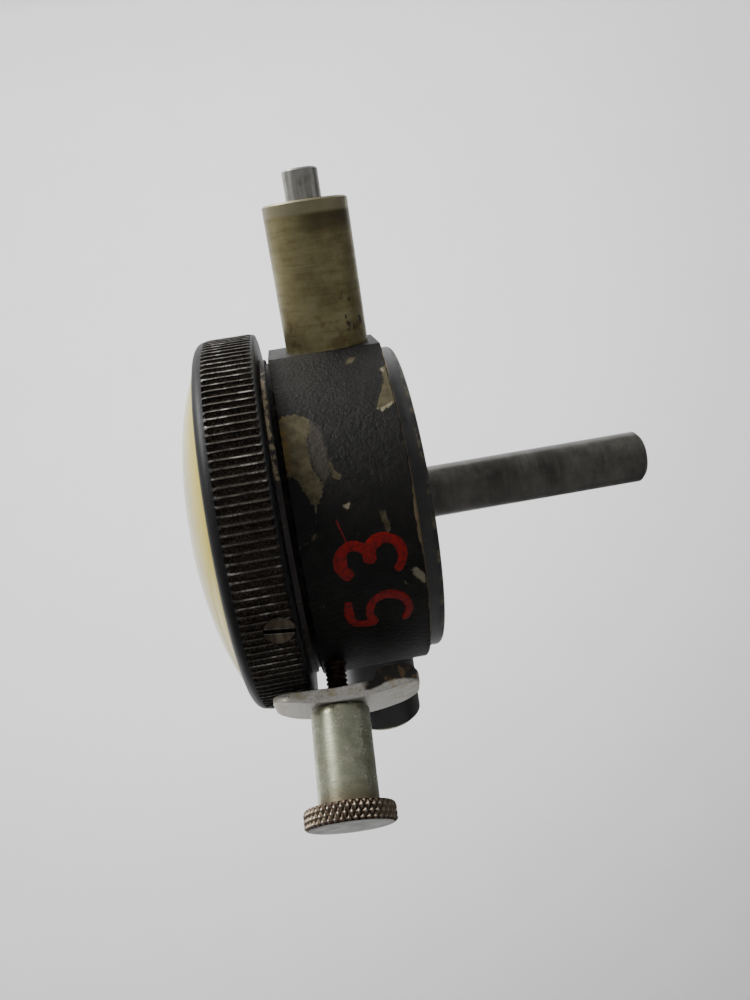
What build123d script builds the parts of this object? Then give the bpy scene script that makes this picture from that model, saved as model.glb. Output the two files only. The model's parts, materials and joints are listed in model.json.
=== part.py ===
from build123d import *
from math import acos, atan2, cos, degrees, hypot, pi, radians, sin, sqrt
import os

# A 1 3/4 inch dial indicator with a 3/8 inch stem, a 1/4 inch rear post and a bezel clamp.
#
# Every sub-part is built in dial coordinates, in millimetres: the origin is where the dial
# axis meets the spindle axis, +X points to 3 o'clock, +Y to 12 o'clock and +Z out of the dial
# towards the reader.  save() turns them into the row frame: the origin at the middle of the
# stem's free end, +Z up along the stem to 12 o'clock, and the dial facing -Y.

INCH = 25.4

# ---- driving dimensions -------------------------------------------------------------------
DIAL_HEIGHT = 35.65           # stem end to dial axis
CASE_R = 19.5
CASE_FRONT = 6.9
CASE_BACK = -5.64
CASE_WALL = 2.3
WEB = 1.5                     # thickness of the case's front web
SPIGOT_R = 18.6               # the collar that the bezel turns on
SPIGOT_FRONT = 11.15
SPIGOT_WALL = 1.8
STEM_FLAT = 19.7              # dial axis to the raised flat that the stem stands on
PAD_HALF = 4.8                # half the width of that flat
CAP_FLAT = 18.95              # dial axis to the flat under the dust cap
EDGE = 0.2                    # small chamfers

BEZEL_R = 1.75 * INCH / 2 + 0.08
BEZEL_BACK = 8.05
BEZEL_FRONT = 15.1
KNURL_BACK = 8.46
KNURL_FRONT = 13.85
KNURL_RIDGES = 150
KNURL_DEPTH = 0.45
RUNNING = 0.1                 # bezel bore on the spigot, per side
WASHER_R = 19.1
WASHER_BACK = 7.45
WASHER_FRONT = 8.0
DIAL_R = 19.25
DIAL_BACK = 11.4
DIAL_THICK = 0.5
SCREW_RING = 10.0             # how far forward the three bezel screws lie
BEZEL_SCREW_ANGLE = 168.1     # the first of the three, anticlockwise from 3 o'clock

CRYSTAL_R = 20.3
CRYSTAL_BACK = 13.3
CRYSTAL_FRONT = 15.0
CRYSTAL_RISE = 4.3
CRYSTAL_THICK = 1.1

COVER_R = 18.4
COVER_BACK = -7.5
POST_R = INCH / 8
POST_END = -36.7
POST_THREAD_R = 2.0
COVER_SCREW_RING = 15.9

STEM_R = 3 / 8 * INCH / 2
STEM_TAIL_R = 3.9
STEM_BORE_R = 2.45
SPINDLE_R = 5 / 32 * INCH / 2
SPINDLE_END = -39.02
SPINDLE_TOP = 20.8
SPINDLE_FIT = 0.035           # running clearance, per side
TRAVEL = INCH / 4
CONTACT_HOLE_R = 1.2
CONTACT_HOLE_DEPTH = 6.0
BUSHING_R = 3.0
BUSHING_LOW = 15.2
BUSHING_HIGH = 23.0
CAP_R = 4.7
CAP_TOP = 29.55

PINION_TEETH = 16             # on the spindle's rack: half an inch of travel per turn
MAIN_TEETH = 60
CENTRE_TEETH = 12
TAKEUP_TEETH = 48
FINE_MODULE = 0.2
RACK_PITCH = INCH / 2 / PINION_TEETH
RACK_MODULE = RACK_PITCH / pi
RACK_LINE = -1.15             # X of the rack's pitch line
PLATE_BACK = 4.4
PLATE_R = 15.5
PIVOT_R = 0.35
PIVOT_FIT = 0.03
ARBOR_R = 0.5
COCK_BACK = 2.1
COCK_THICK = 0.5
BRIDGE_BACK = -3.5
BRIDGE_FRONT = -2.6

CLAMP_ANGLE = 46.1            # from 12 o'clock towards 9 o'clock
CLAMP_LEAN = 3.5              # the thumb screw leans forward by this, in degrees
CLAMP_RADIUS = 24.6           # dial axis to the foot of the thumb screw's barrel
CLAMP_FORWARD = 5.6
CLAMP_SHANK_R = 0.099 * INCH / 2
CLAMP_SHANK_LENGTH = 7.4
BARREL_R = 3.2
BARREL_LENGTH = 10.0
KNOB_R = 4.85
KNOB_LENGTH = 2.05

# ---- places worked out from them -----------------------------------------------------------
MAIN_R = MAIN_TEETH * FINE_MODULE / 2
CENTRE_R = CENTRE_TEETH * FINE_MODULE / 2
TAKEUP_R = TAKEUP_TEETH * FINE_MODULE / 2
MAIN_X = RACK_LINE - PINION_TEETH * RACK_MODULE / 2
MAIN_Y = -sqrt((MAIN_R + CENTRE_R) ** 2 - MAIN_X ** 2)
TAKEUP_DIRECTION = 48.0       # degrees anticlockwise from 3 o'clock
TAKEUP_X = (TAKEUP_R + CENTRE_R) * cos(radians(TAKEUP_DIRECTION))
TAKEUP_Y = (TAKEUP_R + CENTRE_R) * sin(radians(TAKEUP_DIRECTION))
COCK_FOOT = 13.0
PILLARS = [(-9.6, -2.6), (-3.2, -14.1), (4.8, -8.8)]
PILLAR_R = 1.1
PLATE_SCREW_ANGLES = [15, 135, 345]
PLATE_SCREW_RING = 13.6
GUIDE_PIN_Y = -11.9
GUIDE_PIN_R = 0.5
COLLAR_TOP = 7.0
COLLAR_R = 2.7

TO_ROW = Plane(origin=(0, 0, DIAL_HEIGHT), x_dir=(1, 0, 0), z_dir=(0, -1, 0)).location


# ---- helpers ---------------------------------------------------------------------------------
def turned(profile):
    """A solid turned about the dial axis from (radius, forward) corners."""
    corners = [(r, 0, forward) for r, forward in profile]
    return revolve(make_face(Polyline(*corners, close=True)), Axis.Z, 360)


def turned_up(profile):
    """A solid turned about the spindle axis from (radius, height) corners."""
    corners = [(r, height, 0) for r, height in profile]
    return revolve(make_face(Polyline(*corners, close=True)), Axis.Y, 360)


def rod(radius, low, high, x=0.0, y=0.0):
    """A round bar along the dial axis, between two forward distances."""
    bar = Cylinder(radius, high - low, align=(Align.CENTER, Align.CENTER, Align.MIN))
    return Pos(x, y, low) * bar


def polar(radius, angle):
    """A point on a circle about the dial axis, the angle in degrees from 3 o'clock."""
    return radius * cos(radians(angle)), radius * sin(radians(angle))


def gear(teeth, module, low, high, phase, hole=0.0):
    """A spur gear with trapezoid teeth, one of them centred on the angle phase, in degrees."""
    pitch_r = teeth * module / 2
    tooth = 2 * pi / teeth
    steps = [(-0.34, -1.2), (-0.11, 0.85), (0.11, 0.85), (0.34, -1.2)]
    corners = []
    for k in range(teeth):
        for share, height in steps:
            angle = radians(phase) + (k + share) * tooth
            r = pitch_r + height * module
            corners.append((r * cos(angle), r * sin(angle)))
    blank = Pos(0, 0, low) * extrude(make_face(Polyline(*corners, close=True)), high - low)
    if hole:
        blank -= rod(hole, low, high)
    return blank


def slotted_head(radius, length, slot_width, slot_depth):
    """A cheese head along +Z with its slot on top, standing on the XY plane."""
    head = rod(radius, 0, length)
    head = chamfer(head.edges().sort_by(Axis.Z)[-1], EDGE / 2)
    return head - Pos(0, 0, length) * Box(3 * radius, slot_width, 2 * slot_depth)


def machine_screw(shank_r, shank_length, head_r, head_length):
    """A small slotted screw along +Z: its shank ends at zero and its head stands above."""
    head = slotted_head(head_r, head_length, head_r / 4, head_length / 2)
    return rod(shank_r, -shank_length, 0) + head


def clamp_location():
    """The thumb screw's own frame: +Z outward along the screw, +X forward."""
    side, up = -sin(radians(CLAMP_ANGLE)), cos(radians(CLAMP_ANGLE))
    lean = radians(CLAMP_LEAN)
    z_dir = (side * cos(lean), up * cos(lean), sin(lean))
    x_dir = (-side * sin(lean), -up * sin(lean), cos(lean))
    foot = (side * CLAMP_RADIUS, up * CLAMP_RADIUS, CLAMP_FORWARD)
    return Plane(origin=foot, x_dir=x_dir, z_dir=z_dir).location


def radial_location(angle, radius, forward):
    """A frame whose +Z points straight out of the rim at an angle from 3 o'clock."""
    x, y = polar(1, angle)
    return Plane(origin=(x * radius, y * radius, forward), x_dir=(0, 0, 1), z_dir=(x, y, 0)).location


# ---- case and stem ---------------------------------------------------------------------------
def stem_pad():
    """The flat under the stem, with sides that run into the round of the case."""
    touch = atan2(PAD_HALF, STEM_FLAT) + acos(CASE_R / hypot(PAD_HALF, STEM_FLAT))
    side, height = CASE_R * sin(touch), CASE_R * cos(touch)
    outline = make_face(Polyline((-PAD_HALF, -STEM_FLAT), (PAD_HALF, -STEM_FLAT), (side, -height),
                                 (-side, -height), close=True))
    pad = Pos(0, 0, CASE_BACK) * extrude(outline, CASE_FRONT - CASE_BACK)
    return pad - rod(CASE_R - 0.5, CASE_BACK, CASE_FRONT)


def case():
    inner = CASE_R - CASE_WALL
    groove_r = SPIGOT_R - 0.9
    groove_half = 0.65
    body = turned([
        (inner, CASE_BACK), (CASE_R - EDGE, CASE_BACK), (CASE_R, CASE_BACK + EDGE),
        (CASE_R, CASE_FRONT - EDGE), (CASE_R - EDGE, CASE_FRONT), (SPIGOT_R, CASE_FRONT),
        (SPIGOT_R, SCREW_RING - groove_half), (groove_r, SCREW_RING - groove_half),
        (groove_r, SCREW_RING + groove_half), (SPIGOT_R, SCREW_RING + groove_half),
        (SPIGOT_R, SPIGOT_FRONT), (SPIGOT_R - SPIGOT_WALL, SPIGOT_FRONT),
        (SPIGOT_R - SPIGOT_WALL, CASE_FRONT), (1.6, CASE_FRONT),
        (1.6, CASE_FRONT - WEB), (inner, CASE_FRONT - WEB)])
    for k in range(4):
        x, y = polar(COVER_SCREW_RING, 45 + 90 * k)
        boss = rod(1.9, CASE_BACK, CASE_BACK + 4.0, x, y)
        boss &= rod(CASE_R - CASE_WALL / 2, CASE_BACK, CASE_BACK + 4.0)
        body = body + boss - rod(0.6, CASE_BACK, CASE_BACK + 3.0, x, y)
    for angle in PLATE_SCREW_ANGLES:
        x, y = polar(PLATE_SCREW_RING, angle)
        body -= rod(0.5, CASE_FRONT - WEB, CASE_FRONT - 0.3, x, y)
    body += stem_pad()
    body -= turned_up([(0, CAP_FLAT), (CAP_R + 0.5, CAP_FLAT), (CAP_R + 0.5, CASE_R), (0, CASE_R)])
    body -= turned_up([(0, -STEM_FLAT), (STEM_TAIL_R, -STEM_FLAT), (STEM_TAIL_R, -15), (0, -15)])
    body -= turned_up([(0, 15), (BUSHING_R, 15), (BUSHING_R, CASE_R), (0, CASE_R)])
    body -= clamp_location() * rod(CLAMP_SHANK_R + 0.05, -9.0, -4.0)
    return body


def stem():
    end = -DIAL_HEIGHT
    return turned_up([
        (STEM_BORE_R, end), (STEM_R - EDGE, end), (STEM_R, end + EDGE), (STEM_R, -STEM_FLAT),
        (STEM_TAIL_R, -STEM_FLAT), (STEM_TAIL_R, -16.4), (STEM_BORE_R, -16.4)])


def lower_bushing():
    bore = SPINDLE_R + SPINDLE_FIT
    low = -DIAL_HEIGHT + 0.3
    return turned_up([(bore, low), (STEM_BORE_R, low), (STEM_BORE_R, low + 4.5), (bore, low + 4.5)])


def upper_bushing():
    bore = SPINDLE_R + SPINDLE_FIT
    return turned_up([
        (bore, BUSHING_LOW), (BUSHING_R, BUSHING_LOW), (BUSHING_R, BUSHING_HIGH),
        (bore, BUSHING_HIGH)])


def dust_cap():
    hollow_r = 2.5
    roof = CAP_TOP - 1.1
    return turned_up([
        (BUSHING_R, CAP_FLAT), (CAP_R, CAP_FLAT), (CAP_R, CAP_TOP - 0.5), (CAP_R - 0.5, CAP_TOP),
        (0, CAP_TOP), (0, roof), (hollow_r, roof), (hollow_r, BUSHING_HIGH),
        (BUSHING_R, BUSHING_HIGH)])


# ---- spindle, its spring and its guide ---------------------------------------------------------
def spindle():
    bar = turned_up([
        (0, SPINDLE_END + CONTACT_HOLE_DEPTH), (CONTACT_HOLE_R, SPINDLE_END + CONTACT_HOLE_DEPTH),
        (CONTACT_HOLE_R, SPINDLE_END), (SPINDLE_R - EDGE, SPINDLE_END),
        (SPINDLE_R, SPINDLE_END + EDGE), (SPINDLE_R, SPINDLE_TOP - EDGE),
        (SPINDLE_R - EDGE, SPINDLE_TOP), (0, SPINDLE_TOP)])
    tip = RACK_LINE - 0.85 * RACK_MODULE
    root = RACK_LINE + 1.2 * RACK_MODULE
    low = MAIN_Y - TRAVEL - 2.1
    high = MAIN_Y + 2.1
    bar -= Pos(tip - 1, (low + high) / 2, 0) * Box(2, high - low, 5)
    narrow, wide = 0.16 * RACK_PITCH, 0.39 * RACK_PITCH
    gap = make_face(Polyline((tip - 0.1, -wide), (root, -narrow), (root, narrow),
                             (tip - 0.1, wide), close=True))
    cutter = Pos(0, 0, -2.5) * extrude(gap, 5)
    below = int((MAIN_Y - low) / RACK_PITCH)
    above = int((high - MAIN_Y) / RACK_PITCH)
    for k in range(-below, above + 1):
        bar -= Pos(0, MAIN_Y + k * RACK_PITCH, 0) * cutter
    return bar - rod(GUIDE_PIN_R, -SPINDLE_R, -0.8, 0, GUIDE_PIN_Y)


def guide_pin():
    return rod(GUIDE_PIN_R, -4.1, -0.8, 0, GUIDE_PIN_Y)


def spring_collar():
    return turned_up([
        (SPINDLE_R, COLLAR_TOP - 1), (COLLAR_R, COLLAR_TOP - 1), (COLLAR_R, COLLAR_TOP),
        (SPINDLE_R, COLLAR_TOP)])


def spindle_spring():
    wire = 0.15
    coil_r = 2.32
    low = COLLAR_TOP + wire
    height = BUSHING_LOW - wire - low
    path = Helix(pitch=height / 7, height=height, radius=coil_r)
    section = Plane(path @ 0, z_dir=path % 0) * Circle(wire)
    coil = sweep(section, path, is_frenet=True)
    return Pos(0, low, 0) * (Rot(-90, 0, 0) * coil)


# ---- gear train ----------------------------------------------------------------------------------
def rack_pinion_arbor():
    shaft = rod(0.6, BRIDGE_FRONT + 0.1, PLATE_BACK - 0.1)
    pivots = rod(PIVOT_R, BRIDGE_BACK + 0.1, PLATE_BACK + 0.8)
    pinion = gear(PINION_TEETH, RACK_MODULE, -1.4, 1.4, 0)
    return Pos(MAIN_X, MAIN_Y, 0) * (shaft + pivots + pinion)


def main_gear():
    towards_centre = degrees(atan2(-MAIN_Y, -MAIN_X))
    wheel = gear(MAIN_TEETH, FINE_MODULE, 3.0, 3.5, towards_centre, 0.6)
    for k in range(5):
        x, y = polar(3.4, towards_centre + 72 * k)
        wheel -= rod(1.35, 3.0, 3.5, x, y)
    hub = rod(1.3, 2.6, 3.0) - rod(0.6, 2.6, 3.0)
    return Pos(MAIN_X, MAIN_Y, 0) * (wheel + hub)


def centre_arbor():
    half_tooth = 180 / CENTRE_TEETH
    from_main = degrees(atan2(-MAIN_Y, -MAIN_X)) + 180
    shaft = rod(ARBOR_R, COCK_BACK + COCK_THICK + 0.05, 13.2)
    pivot = rod(PIVOT_R, COCK_BACK + 0.05, 3.0)
    return shaft + pivot + gear(CENTRE_TEETH, FINE_MODULE, 2.85, 3.65, from_main + half_tooth)


def takeup_arbor():
    shaft = rod(ARBOR_R, COCK_BACK + COCK_THICK + 0.05, PLATE_BACK - 0.05)
    collet = rod(0.95, 3.65, 4.15)
    pivots = rod(PIVOT_R, COCK_BACK + 0.05, PLATE_BACK + 0.8)
    return Pos(TAKEUP_X, TAKEUP_Y, 0) * (shaft + collet + pivots)


def takeup_gear():
    centre_phase = degrees(atan2(-MAIN_Y, -MAIN_X)) + 180 + 180 / CENTRE_TEETH
    tooth = 360 / CENTRE_TEETH
    offset = (TAKEUP_DIRECTION - centre_phase) / tooth
    # the centre pinion's teeth stand at offset from the line of centres, in teeth
    shift = offset - round(offset)
    phase = TAKEUP_DIRECTION + 180 + (0.5 + shift) * 360 / TAKEUP_TEETH
    wheel = gear(TAKEUP_TEETH, FINE_MODULE, 3.05, 3.45, phase, ARBOR_R)
    for k in range(4):
        x, y = polar(2.7, 45 + 90 * k)
        wheel -= rod(1.1, 3.05, 3.45, x, y)
    return Pos(TAKEUP_X, TAKEUP_Y, 0) * wheel


def hairspring():
    inner, outer, turns, strip = 1.02, 3.5, 4.5, 0.09
    count = 60
    near, far = [], []
    for k in range(count + 1):
        share = k / count
        r = inner + (outer - inner) * share
        x, y = polar(1, 360 * turns * share)
        near.append((r * x, r * y))
        far.append(((r + strip) * x, (r + strip) * y))
    inside, outside = Spline(*near), Spline(*far)
    ends = [Line(near[0], far[0]), Line(near[-1], far[-1])]
    coil = Pos(0, 0, 3.7) * extrude(make_face([inside, outside] + ends), 0.35)
    return Pos(TAKEUP_X, TAKEUP_Y, 0) * coil


def hairspring_stud():
    # the spiral ends on the far side of its arbor from 3 o'clock
    return rod(0.4, 3.6, PLATE_BACK, TAKEUP_X - 4.0, TAKEUP_Y)


def hand():
    length, tail = 16.5, 4.5
    blade = make_face(Polyline((-length, 0.1), (tail, 0.75), (tail, -0.75), (-length, -0.1),
                               close=True))
    pointer = Pos(0, 0, 12.55) * extrude(blade, 0.2)
    return pointer + rod(1.5, 12.3, 12.95) - rod(ARBOR_R, 12.3, 12.95)


# ---- plates, pillars and screws of the movement -------------------------------------------------
def movement_plate():
    front = CASE_FRONT - WEB
    plate = rod(PLATE_R, PLATE_BACK, front)
    plate -= rod(ARBOR_R + PIVOT_FIT, PLATE_BACK, front)
    for x, y in [(MAIN_X, MAIN_Y), (TAKEUP_X, TAKEUP_Y)]:
        plate -= rod(PIVOT_R + PIVOT_FIT, PLATE_BACK, front, x, y)
    for angle in PLATE_SCREW_ANGLES:
        x, y = polar(PLATE_SCREW_RING, angle)
        plate -= rod(0.5, PLATE_BACK, front, x, y)
    return plate


def rear_bridge():
    outline = Polyline((-11, -1.6), (1.9, -1.6), (6.4, -7.6), (6.4, -10.4), (1.8, -15),
                       (-4.4, -15.4), (-11, -4.4), close=True)
    plate = Pos(0, 0, BRIDGE_BACK) * extrude(make_face(outline), BRIDGE_FRONT - BRIDGE_BACK)
    plate -= rod(PIVOT_R + PIVOT_FIT, BRIDGE_BACK, BRIDGE_FRONT, MAIN_X, MAIN_Y)
    for x, y in PILLARS:
        plate -= rod(0.5, BRIDGE_BACK, BRIDGE_FRONT, x, y)
    slot_low = GUIDE_PIN_Y - GUIDE_PIN_R - 0.05
    slot_high = GUIDE_PIN_Y + TRAVEL + GUIDE_PIN_R + 0.05
    slot_half = GUIDE_PIN_R + 0.04
    middle = (slot_low + slot_high) / 2
    slot = Box(2 * slot_half, slot_high - slot_low, 2)
    return plate - Pos(0, middle, (BRIDGE_BACK + BRIDGE_FRONT) / 2) * slot


def pillars():
    posts = [rod(PILLAR_R, BRIDGE_FRONT, PLATE_BACK, x, y)
             - rod(0.5, BRIDGE_FRONT, BRIDGE_FRONT + 2.5, x, y) for x, y in PILLARS]
    x, y = polar(COCK_FOOT, TAKEUP_DIRECTION)
    front = COCK_BACK + COCK_THICK
    posts.append(rod(PILLAR_R, front, PLATE_BACK, x, y) - rod(0.4, front, front + 1.4, x, y))
    return Compound(children=posts)


def centre_cock():
    bar = Pos(COCK_FOOT / 2, 0, 0) * Box(COCK_FOOT, 2.4, COCK_THICK,
                                         align=(Align.CENTER, Align.CENTER, Align.MIN))
    bar += rod(1.2, 0, COCK_THICK) + rod(1.6, 0, COCK_THICK, COCK_FOOT)
    bar -= rod(PIVOT_R + PIVOT_FIT, 0, COCK_THICK)
    bar -= rod(PIVOT_R + PIVOT_FIT, 0, COCK_THICK, TAKEUP_R + CENTRE_R)
    bar -= rod(0.4, 0, COCK_THICK, COCK_FOOT)
    return Pos(0, 0, COCK_BACK) * (Rot(0, 0, TAKEUP_DIRECTION) * bar)


def bridge_screws():
    facing_back = Rot(180, 0, 0)
    screws = [Pos(x, y, BRIDGE_BACK) * (facing_back * machine_screw(0.5, 3.0, 0.95, 0.6))
              for x, y in PILLARS]
    x, y = polar(COCK_FOOT, TAKEUP_DIRECTION)
    screws.append(Pos(x, y, COCK_BACK) * (facing_back * machine_screw(0.4, 1.6, 0.8, 0.5)))
    return Compound(children=screws)


def movement_screws():
    screws = []
    for angle in PLATE_SCREW_ANGLES:
        x, y = polar(PLATE_SCREW_RING, angle)
        screw = Rot(180, 0, 0) * machine_screw(0.5, 1.9, 1.0, 0.6)
        screws.append(Pos(x, y, PLATE_BACK) * screw)
    return Compound(children=screws)


# ---- back cover and post --------------------------------------------------------------------------
def back_cover():
    rim = 0.6
    cover = turned([
        (POST_THREAD_R, CASE_BACK), (COVER_R, CASE_BACK), (COVER_R, COVER_BACK),
        (POST_THREAD_R, COVER_BACK)])
    outer_edge = cover.edges().filter_by(GeomType.CIRCLE).group_by(Axis.Z)[0].sort_by(SortBy.RADIUS)[-1]
    cover = fillet(outer_edge, rim)
    for k in range(4):
        x, y = polar(COVER_SCREW_RING, 45 + 90 * k)
        cover -= Pos(x, y, 0) * cover_screw_blank()
    return cover


def cover_screw_blank():
    """A countersunk screw along the dial axis, flush with the back cover."""
    head_r, shank_r, head = 1.4, 0.6, 0.8
    return turned([
        (0, COVER_BACK), (head_r, COVER_BACK), (shank_r, COVER_BACK + head),
        (shank_r, CASE_BACK + 2.8), (0, CASE_BACK + 2.8)])


def back_cover_screws():
    screws = []
    for k in range(4):
        x, y = polar(COVER_SCREW_RING, 45 + 90 * k)
        slot = Pos(0, 0, COVER_BACK) * (Rot(0, 0, 25 + 70 * k) * Box(4, 0.35, 0.6))
        screws.append(Pos(x, y, 0) * (cover_screw_blank() - slot))
    return Compound(children=screws)


def rear_post():
    bevel = 0.5
    return turned([
        (0, POST_END), (POST_R - bevel, POST_END), (POST_R, POST_END + bevel),
        (POST_R, COVER_BACK), (POST_THREAD_R, COVER_BACK), (POST_THREAD_R, BRIDGE_BACK - 0.4),
        (0, BRIDGE_BACK - 0.4)])


def post_nut():
    across_flats = 6.0
    height = 1.4
    nut = extrude(RegularPolygon(across_flats / 2, 6, major_radius=False), height)
    return Pos(0, 0, CASE_BACK) * nut - rod(POST_THREAD_R, CASE_BACK, CASE_BACK + height)


# ---- bezel, dial and crystal ------------------------------------------------------------------------
def quarter_round(r, z, width, height):
    """Points (r, z) that round an outer front corner off with a quarter of an ellipse."""
    points = []
    for k in range(7):
        turn = pi / 2 * k / 6
        points.append((r - width * (1 - cos(turn)), z - height * (1 - sin(turn))))
    return points


def bezel_ring():
    bore = SPIGOT_R + RUNNING
    root = BEZEL_R - KNURL_DEPTH
    smooth = BEZEL_R - 0.12
    body = turned([
        (bore, BEZEL_BACK), (smooth - 0.4, BEZEL_BACK), (smooth, BEZEL_BACK + 0.4),
        (smooth, KNURL_BACK), (root, KNURL_BACK), (root, KNURL_FRONT),
        *quarter_round(smooth, BEZEL_FRONT, 1.4, BEZEL_FRONT - KNURL_FRONT),
        (CRYSTAL_R, BEZEL_FRONT), (CRYSTAL_R, CRYSTAL_BACK), (DIAL_R, CRYSTAL_BACK),
        (DIAL_R, DIAL_BACK), (bore, DIAL_BACK)])
    ridge = 2 * pi / KNURL_RIDGES
    corners = []
    for k in range(KNURL_RIDGES):
        for share, r in [(-0.5, root), (-0.14, BEZEL_R), (0.14, BEZEL_R)]:
            angle = (k + share) * ridge
            corners.append((r * cos(angle), r * sin(angle)))
    star = make_face(Polyline(*corners, close=True))
    band = Pos(0, 0, KNURL_BACK) * extrude(star, KNURL_FRONT - KNURL_BACK)
    band -= rod(root - 0.3, KNURL_BACK, KNURL_FRONT)
    for k in range(3):
        place = radial_location(BEZEL_SCREW_ANGLE + 120 * k, 0, SCREW_RING)
        pocket = place * rod(1.63, BEZEL_R - 1.2, BEZEL_R + 1)
        band -= pocket
        body -= place * rod(0.8, bore - 1, BEZEL_R)
        body -= pocket
    return body + band


def bezel_screws():
    head_foot = BEZEL_R - 1.2
    head = slotted_head(1.6, 1.15, 0.5, 0.45)
    shank = rod(0.8, -(head_foot - SPIGOT_R - 0.15), 0)
    tip = rod(0.55, -(head_foot - SPIGOT_R + 0.65), 0)
    screws = []
    for k, turn in enumerate([-8.5, 65, 130]):
        place = radial_location(BEZEL_SCREW_ANGLE + 120 * k, head_foot, SCREW_RING)
        screws.append(place * (Rot(0, 0, turn) * (head + shank + tip)))
    return Compound(children=screws)


def bezel_washer():
    return turned([
        (SPIGOT_R, WASHER_BACK), (WASHER_R, WASHER_BACK), (WASHER_R, WASHER_FRONT),
        (SPIGOT_R, WASHER_FRONT)])


def dial_face():
    return turned([
        (1.2, DIAL_BACK), (DIAL_R, DIAL_BACK), (DIAL_R, DIAL_BACK + DIAL_THICK),
        (1.2, DIAL_BACK + DIAL_THICK)])


def dome(radius, rise):
    """Half a section of a dome: nearly flat in the middle and rounder towards its rim."""
    points = []
    for k in range(11):
        r = radius * sin(pi / 2 * k / 10)
        points.append((r, 0, CRYSTAL_FRONT + rise * (1 - (r / radius) ** 2.3) ** 0.86))
    return Spline(*points, tangents=[(1, 0, 0), (0.2, 0, -1)])


def crystal():
    """A domed window on a short round skirt."""
    outside = dome(CRYSTAL_R, CRYSTAL_RISE)
    inside = dome(CRYSTAL_R - CRYSTAL_THICK, CRYSTAL_RISE - CRYSTAL_THICK)
    skirt = Polyline(outside @ 1, (CRYSTAL_R, 0, CRYSTAL_BACK),
                     (CRYSTAL_R - CRYSTAL_THICK, 0, CRYSTAL_BACK), inside @ 1)
    crown = Line(outside @ 0, inside @ 0)
    return revolve(make_face([outside, skirt, inside, crown]), Axis.Z, 360)


# ---- bezel clamp ----------------------------------------------------------------------------------
def clamp_plate():
    """A bowed strap: a thin nose over the bezel's rim and a bent foot over the case."""
    nose, heel, half_width = 7.0, -9.0, 3.6
    top = ThreePointArc((heel, 0, -1.5), (0, 0, 0), (nose, 0, -0.95))
    under = Polyline((nose, 0, -0.95), (nose, 0, -1.6), (0, 0, -1.5), (-3.9, 0, -1.75),
                     (-4.7, 0, -3.1), (-7.9, 0, -3.3), (heel, 0, -2.6), (heel, 0, -1.5))
    strap = Pos(0, half_width, 0) * extrude(make_face([top, under]), 2 * half_width, dir=(0, -1, 0))
    outline = Pos((nose + heel) / 2, 0, -5) * extrude(
        RectangleRounded(nose - heel, 2 * half_width, 2.2), 10)
    strap &= outline
    return clamp_location() * (strap - rod(CLAMP_SHANK_R + 0.08, -5, 1))


def clamp_screw():
    """A thumb screw turned about its own axis: shank, plain barrel and a crowned head."""
    foot = 0.03
    knob_end = BARREL_LENGTH + KNOB_LENGTH
    profile = [
        (0, -CLAMP_SHANK_LENGTH), (CLAMP_SHANK_R - EDGE, -CLAMP_SHANK_LENGTH),
        (CLAMP_SHANK_R, -CLAMP_SHANK_LENGTH + EDGE), (CLAMP_SHANK_R, foot),
        (BARREL_R - EDGE, foot), (BARREL_R, foot + EDGE), (BARREL_R, BARREL_LENGTH),
        (KNOB_R - 0.25, BARREL_LENGTH), (KNOB_R, BARREL_LENGTH + 0.2),
        (KNOB_R, knob_end - 0.3), (KNOB_R - 0.35, knob_end - 0.08),
        (KNOB_R / 2, knob_end + 0.06), (0, knob_end + 0.1)]
    return clamp_location() * turned(profile)


NODES = [
    case, stem, lower_bushing, upper_bushing, dust_cap, spindle, guide_pin, spring_collar,
    spindle_spring, rack_pinion_arbor, main_gear, centre_arbor, takeup_arbor, takeup_gear,
    hairspring, hairspring_stud, hand, movement_plate, rear_bridge, pillars, centre_cock,
    bridge_screws, movement_screws, back_cover, back_cover_screws, rear_post, post_nut,
    bezel_ring, bezel_screws, bezel_washer, dial_face, crystal, clamp_plate, clamp_screw]


def save():
    os.makedirs("parts", exist_ok=True)
    for make in NODES:
        export_step(TO_ROW * make(), f"parts/{make.__name__}.step")


save()
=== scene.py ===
import json
import random
from math import acos, atan2, cos, hypot, pi, radians, sin, sqrt

import bmesh
import bpy
from mathutils import Matrix, Vector, noise


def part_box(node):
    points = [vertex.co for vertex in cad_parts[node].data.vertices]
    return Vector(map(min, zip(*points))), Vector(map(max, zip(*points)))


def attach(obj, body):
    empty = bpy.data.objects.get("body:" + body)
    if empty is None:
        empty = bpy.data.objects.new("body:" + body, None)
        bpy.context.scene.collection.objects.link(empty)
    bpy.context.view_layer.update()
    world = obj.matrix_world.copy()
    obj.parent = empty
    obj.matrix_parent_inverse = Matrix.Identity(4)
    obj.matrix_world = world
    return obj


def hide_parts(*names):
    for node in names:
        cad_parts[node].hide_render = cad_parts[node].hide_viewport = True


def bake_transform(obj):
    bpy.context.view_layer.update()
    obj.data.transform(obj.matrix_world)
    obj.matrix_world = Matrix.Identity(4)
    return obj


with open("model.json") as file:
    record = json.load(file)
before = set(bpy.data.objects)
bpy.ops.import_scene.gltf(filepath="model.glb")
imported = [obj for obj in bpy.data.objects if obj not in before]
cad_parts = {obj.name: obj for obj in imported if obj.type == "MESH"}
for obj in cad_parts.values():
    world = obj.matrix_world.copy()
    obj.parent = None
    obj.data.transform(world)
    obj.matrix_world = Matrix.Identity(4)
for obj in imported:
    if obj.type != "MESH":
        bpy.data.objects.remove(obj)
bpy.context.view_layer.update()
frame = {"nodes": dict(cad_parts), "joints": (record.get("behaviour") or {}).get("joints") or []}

MM = 0.001


# ---- places and sizes read from the frame, in mm ----
def node_radius(node):
    low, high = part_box(node)
    return (high.x - low.x) / 2 / MM


def node_depths(node):
    """How far forward a node's front and back lie."""
    return (-corner.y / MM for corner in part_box(node))


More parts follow.
